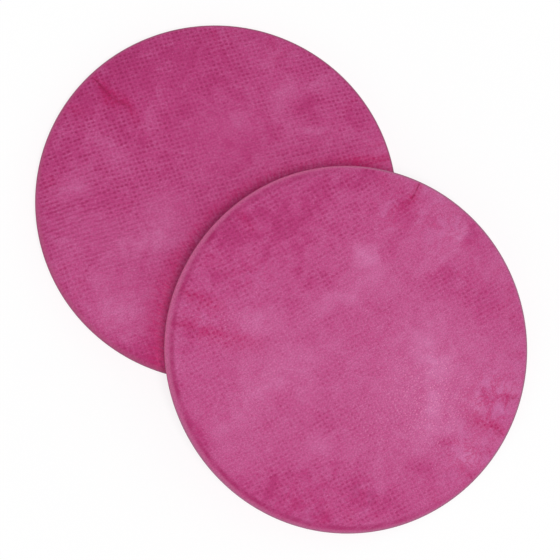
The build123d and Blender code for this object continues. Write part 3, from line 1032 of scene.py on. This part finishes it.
def cover_marks(side, face, x, y, weld, outer):
    """What the points of a cover are marked with for its finish."""
    drawn = gathers(side, face, x, y, weld) / FULL_GATHER
    if face == "rear":
        return {
            "web_loose_and_shade": np.full_like(x, LOOSE[side]),
            "web_points": np.ones_like(x),
            "web_fold": np.clip(0.35 * drawn, 0, 1),
        }
    creased = crease_depth(side, x, y, 0.0003) / FULL_CREASE
    outside, round_rim = beside_upper(side, x, y, outer)
    return {
        "web_loose_and_shade": looseness_and_shade(side, x, y),
        "web_fold": np.clip(0.95 * creased + 0.30 * drawn, 0, 1.2),
        "web_crumple": spots(side, x, y, CRUMPLED) * (side == "upper"),
        "rim_outside": outside,
        "rim_round": round_rim,
        "web_points": 1 - spots(side, x, y, FADED[side]),
        "web_ribs": spots(side, x, y, RIBBED[side]),
        # where the painted highlights of the glints show
        "web_painted_glint": spots(side, x, y, PAINTED_GLINTS) * (side == "upper"),
    }


def face_sizes(face, disc):
    """A face's crown inside its cover, and the hole in its webs."""
    if face == "front":
        return disc.front_crown - disc.cover_thickness, 0.0
    return disc.rear_crown - disc.cover_thickness, disc.port_hole


def make_covers(context, face):
    """Both filters' covers of one face."""
    disc, web = context.scene.filter_disc, context.scene.cover_web
    crown, hole = face_sizes(face, disc)
    front = face == "front"
    radii = cover_radii(hole, disc, disc.cover_rings if front else disc.cover_rings * 2 // 3)
    for side in SIDES:
        grid, weld, share, relief = face_shape(side, face, radii, 8 * disc.cover_rings, disc)
        x, y = grid[:2]
        inner = crown * share + relief
        outer = inner + disc.cover_thickness - edge_round(x, y, disc)
        material = cover_finish(f"Magenta cover web, {side} {face}", side, web, disc, front)
        marks = cover_marks(side, face, x, y, weld, outer)
        name = f"{side}_{face}_cover_web"
        piece = web_piece(side, face, name, grid, outer, inner, material, **marks)
        lay(piece, side, f"{side}_{face}_cover")


def make_plies(context, face):
    """Both filters' media and scrims of one face, from its cover inwards."""
    disc, colours = context.scene.filter_disc, context.scene.port_plastic
    crown, hole = face_sizes(face, disc)
    front = face == "front"
    media = ply_finish(f"White media, {face}", colours.media, 0.90, 0.00025)
    scrim = ply_finish(f"White scrim, {face}", colours.scrim, 0.86, 0.00045)
    ply = disc.media_ply if front else disc.rear_media_ply
    rings = disc.ply_rings + 1 if front else disc.ply_rings * 2 // 3
    radii = np.linspace(hole, disc.media_radius, rings)
    layers = (
        ("media_outer", "ply", "media_web", ply, media),
        ("media_inner", "ply", "media_web", ply, media),
        ("scrim", "web", "scrim_web", disc.scrim_thickness, scrim),
    )
    for side in SIDES:
        grid, _, share, relief = face_shape(side, face, radii, 8 * disc.ply_rings, disc, 0.0010)
        level = crown - disc.layer_gap
        for at, (name, end, slot, thickness, material) in enumerate(layers):
            outer = level * share + PLY_SHARES[at] * relief
            inner = (level - thickness) * share + PLY_SHARES[at + 1] * relief
            inner = np.minimum(inner, outer - 0.3 * thickness * np.maximum(share, 0.3))
            title = f"{side}_{face}_{name}"
            piece = web_piece(side, face, f"{title}_{end}", grid, outer, inner, material)
            lay(piece, side, title)
            level -= thickness + disc.layer_gap


class Covers(bpy.types.Operator):
    """Makes the covers: crowned fronts with their creases, and rears level round their collars"""

    bl_idname = "filter_pair.covers"
    bl_label = "Covers"

    def execute(self, context):
        for face in FACES:
            make_covers(context, face)
        return {"FINISHED"}


class InnerWebs(bpy.types.Operator):
    """Makes the media and scrims, which follow the covers"""

    bl_idname = "filter_pair.inner_webs"
    bl_label = "Media and scrims"

    def execute(self, context):
        for face in FACES:
            make_plies(context, face)
        return {"FINISHED"}


class PortFinishes(bpy.types.Operator):
    """Gives the moulded collars, clamp rings and spacer nets their finishes"""

    bl_idname = "filter_pair.port_finishes"
    bl_label = "Moulded pieces"

    def execute(self, context):
        colours = context.scene.port_plastic
        finishes = {
            "bayonet_collar": moulded_finish("Dark collar plastic", colours.collar, 0.46, 0.00035),
            "clamp_ring": moulded_finish("Dark clamp plastic", colours.clamp, 0.50, 0.0004),
            "spacer_net": moulded_finish("Natural net plastic", colours.net, 0.55, 0.0005),
        }
        for side in SIDES:
            for name, material in finishes.items():
                for slot in frame["nodes"][f"{side}_{name}"].material_slots:
                    slot.material = material
        return {"FINISHED"}


class Stage(bpy.types.Operator):
    """Makes the floor, the soft light and the camera"""

    bl_idname = "filter_pair.stage"
    bl_label = "Floor, light and camera"

    def execute(self, context):
        studio = context.scene.studio
        self.floor(studio)
        self.room(context, studio)
        self.lamps(studio)
        self.camera(context, studio)
        return {"FINISHED"}

    def floor(self, studio):
        """A wide pale light table, clear from below, which lets a lamp under it shine through."""
        near, far = -FLOOR_REACH, FLOOR_REACH
        corners = [(near, near, 0), (far, near, 0), (far, far, 0), (near, far, 0)]
        mesh = bpy.data.meshes.new("floor")
        mesh.from_pydata(corners, [], [(0, 1, 2, 3)])
        floor = placed("floor", mesh)
        finish = Finish("Pale floor")
        finish.set(base_color=(*studio.floor_colour, 1.0), roughness=0.95)
        finish.shine(0.0)
        under = finish.add("NewGeometry", output="Backfacing")
        under = finish.most(under, finish.add("LightPath", output="Is Shadow Ray"))
        clear = finish.add("BsdfTransparent")
        glow = finish.add("Emission", {"Color": (1, 1, 1, 1), "Strength": 1.0})
        seen = finish.times(finish.seen(), 0.75)
        top = finish.add("MixShader", {0: seen, 1: finish.shader.outputs[0], 2: glow})
        both = finish.add("MixShader", {0: under, 1: top, 2: clear})
        finish.feed(finish.tree.nodes["Material Output"].inputs["Surface"], both)
        mesh.materials.append(finish.material)

    def room(self, context, studio):
        """Even light from all round, behind which the room is white."""
        world = bpy.data.worlds.new("White room")
        context.scene.world = world
        nodes = Nodes(world)
        light = nodes.tree.nodes["Background"]
        light.inputs["Color"].default_value = (1, 1, 1, 1)
        feeds = {"Value": nodes.seen(), "To Min": studio.room_light, "To Max": 1.0}
        nodes.feed(light.inputs["Strength"], nodes.add("MapRange", feeds))

    def lamps(self, studio):
        """A broad soft key lamp from beyond the leaning filter, and one under the table."""
        for name, energy, spread, towards in (
            ("key lamp", studio.key_light, 14, (-0.075, 0.235, -1.0)),
            ("table lamp", studio.table_light, 60, (0.0, 0.0, 1.0)),
        ):
            lamp = bpy.data.lights.new(name, "SUN")
            lamp.energy = energy
            lamp.angle = radians(spread)
            way = Vector(towards).to_track_quat("-Z", "Y")
            placed(name, lamp).rotation_euler = way.to_euler()

    def camera(self, context, studio):
        """The camera, with its aim in the middle of the pair."""
        lens = bpy.data.cameras.new("camera")
        lens.sensor_width = SENSOR_WIDTH
        lens.lens = SENSOR_WIDTH * studio.camera_distance / studio.view_width
        camera = placed("camera", lens)
        rise = studio.camera_height
        back = Vector((0, -cos(rise), sin(rise)))
        camera.location = CAMERA_AIM + back * studio.camera_distance
        camera.rotation_euler = (pi / 2 - rise, 0, 0)
        context.scene.camera = camera
        context.scene.view_settings.view_transform = "Standard"


class FilterPanel(bpy.types.Panel):
    """Lists what makes the pair of filters"""

    bl_idname = "VIEW3D_PT_filter_pair"
    bl_label = "Respirator filter pair"
    bl_space_type = "VIEW_3D"
    bl_region_type = "UI"
    bl_category = "Filters"

    def draw(self, context):
        for group in PROPERTIES:
            box = self.layout.box()
            settings = getattr(context.scene, group)
            for name in PROPERTIES[group].__annotations__:
                box.prop(settings, name)
        for operator in OPERATORS:
            self.layout.operator(operator.bl_idname)


PROPERTIES = {
    "filter_disc": FilterDisc,
    "cover_web": CoverWeb,
    "port_plastic": PortPlastic,
    "studio": Studio,
}
OPERATORS = (Covers, InnerWebs, PortFinishes, Stage)


def register():
    for item in (*PROPERTIES.values(), *OPERATORS, FilterPanel):
        bpy.utils.register_class(item)
    for name, group in PROPERTIES.items():
        setattr(bpy.types.Scene, name, PointerProperty(type=group))


def unregister():
    for name in PROPERTIES:
        delattr(bpy.types.Scene, name)
    for item in reversed((*PROPERTIES.values(), *OPERATORS, FilterPanel)):
        bpy.utils.unregister_class(item)


def main():
    register()
    for operator in OPERATORS:
        group, name = operator.bl_idname.split(".")
        getattr(getattr(bpy.ops, group), name)()


if __name__ == "__main__":
    main()
